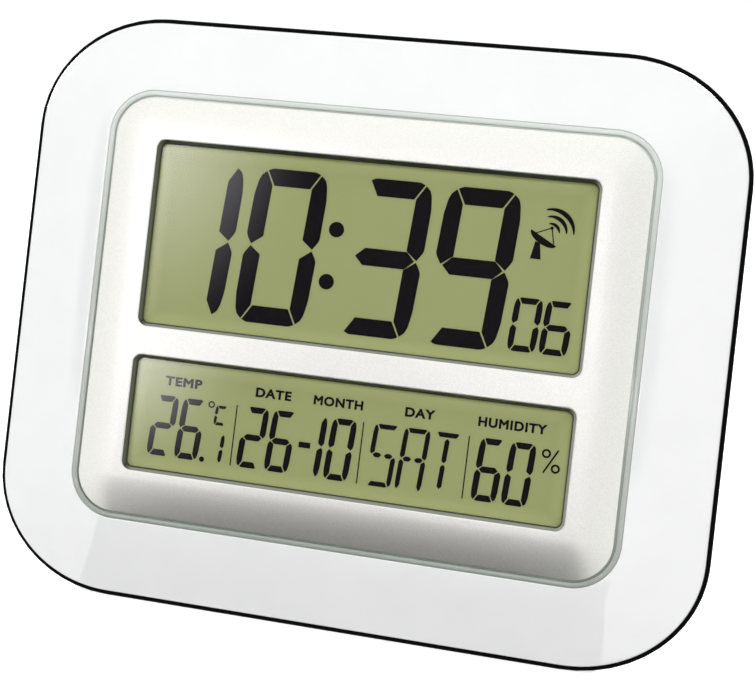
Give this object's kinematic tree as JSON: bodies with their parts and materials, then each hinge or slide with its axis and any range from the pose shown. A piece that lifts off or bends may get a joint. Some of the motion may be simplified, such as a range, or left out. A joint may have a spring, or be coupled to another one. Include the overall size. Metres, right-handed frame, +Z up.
{
  "type": "radio-controlled clock",
  "caption": "Flat digital clock with a white sloped frame, silver panel, two green segment displays and a black back with fold-out stand, rear buttons and sliding battery door.",
  "frame": {"origin": "on the table, under the middle of the standing clock's box", "axes": "+X to the right of someone who reads the clock, +Y from the face to the back, +Z up; the clock leans back 15 degrees on its open stand"},
  "size_m": [0.23, 0.0726, 0.1833],
  "materials": {
    "white_gloss": "high-gloss white",
    "silver_paint": "satin silver paint",
    "trim_clear": "clear grey-green",
    "lens_clear": "clear acrylic sheet",
    "display_green": "olive green segment display glass",
    "black_abs": "fine spark-eroded black",
    "white_abs": "moulded white",
    "elastomer": "striped connector rubber",
    "circuit_board": "green solder mask",
    "chip_black": "moulded epoxy",
    "steel": "zinc plated",
    "copper": "enamelled copper wire",
    "ferrite": "sintered",
    "cell_wrap": "plain printed sleeve",
    "rubber": "soft black"
  },
  "bodies": {
    "case": {"antenna_coil": "copper", "antenna_cradle_left": "white_abs", "antenna_cradle_right": "white_abs", "antenna_rod": "ferrite", "battery_lower": "cell_wrap", "battery_spring_lower": "steel", "battery_spring_upper": "steel", "battery_upper": "cell_wrap", "bezel_frame": "white_gloss", "board_screw_1": "steel", "board_screw_2": "steel", "board_screw_3": "steel", "board_screw_4": "steel", "calendar_connector_strip": "elastomer", "calendar_display": "display_green", "calendar_lens": "lens_clear", "case_screw_1": "steel", "case_screw_2": "steel", "case_screw_3": "steel", "case_screw_4": "steel", "case_screw_5": "steel", "case_screw_6": "steel", "clock_chip": "chip_black", "display_carrier": "white_abs", "front_panel": "silver_paint", "humidity_sensor": "white_abs", "link_contact": "steel", "main_board": "circuit_board", "minus_terminal": "steel", "plus_terminal": "steel", "quartz_crystal": "steel", "rear_cover": "black_abs", "receiver_board": "circuit_board", "receiver_chip": "chip_black", "stand_pin": "steel", "switch_1": "steel", "switch_2": "steel", "switch_3": "steel", "switch_4": "steel", "switch_5": "steel", "temperature_sensor": "chip_black", "time_connector_strip": "elastomer", "time_display": "display_green", "time_lens": "lens_clear", "trim_ring": "trim_clear"},
    "door": {"battery_door": "black_abs"},
    "stand": {"stand_leg": "black_abs", "stand_foot": "rubber"},
    "key_1": {"button_1": "black_abs"},
    "key_2": {"button_2": "black_abs"},
    "key_3": {"button_3": "black_abs"},
    "key_4": {"button_4": "black_abs"},
    "key_5": {"button_5": "black_abs"}
  },
  "joints": [
    {"name": "stand_fold", "type": "hinge", "parent": "case", "child": "stand", "pos_m": [0, 0.00511, 0.07929], "axis": [1, 0, 0], "range_deg": [-35, 0]},
    {"name": "door_slide", "type": "slide", "parent": "case", "child": "door", "axis": [1, 0, 0], "range_m": [0, 0.012]},
    {"name": "key_1_press", "type": "slide", "parent": "case", "child": "key_1", "axis": [0, -0.9659, 0.2588], "range_m": [0, 0.0006], "stiffness_N_per_m": 2500},
    {"name": "key_2_press", "type": "slide", "parent": "case", "child": "key_2", "axis": [0, -0.9659, 0.2588], "range_m": [0, 0.0006], "stiffness_N_per_m": 2500},
    {"name": "key_3_press", "type": "slide", "parent": "case", "child": "key_3", "axis": [0, -0.9659, 0.2588], "range_m": [0, 0.0006], "stiffness_N_per_m": 2500},
    {"name": "key_4_press", "type": "slide", "parent": "case", "child": "key_4", "axis": [0, -0.9659, 0.2588], "range_m": [0, 0.0006], "stiffness_N_per_m": 2500},
    {"name": "key_5_press", "type": "slide", "parent": "case", "child": "key_5", "axis": [0, -0.9659, 0.2588], "range_m": [0, 0.0006], "stiffness_N_per_m": 2500}
  ]
}
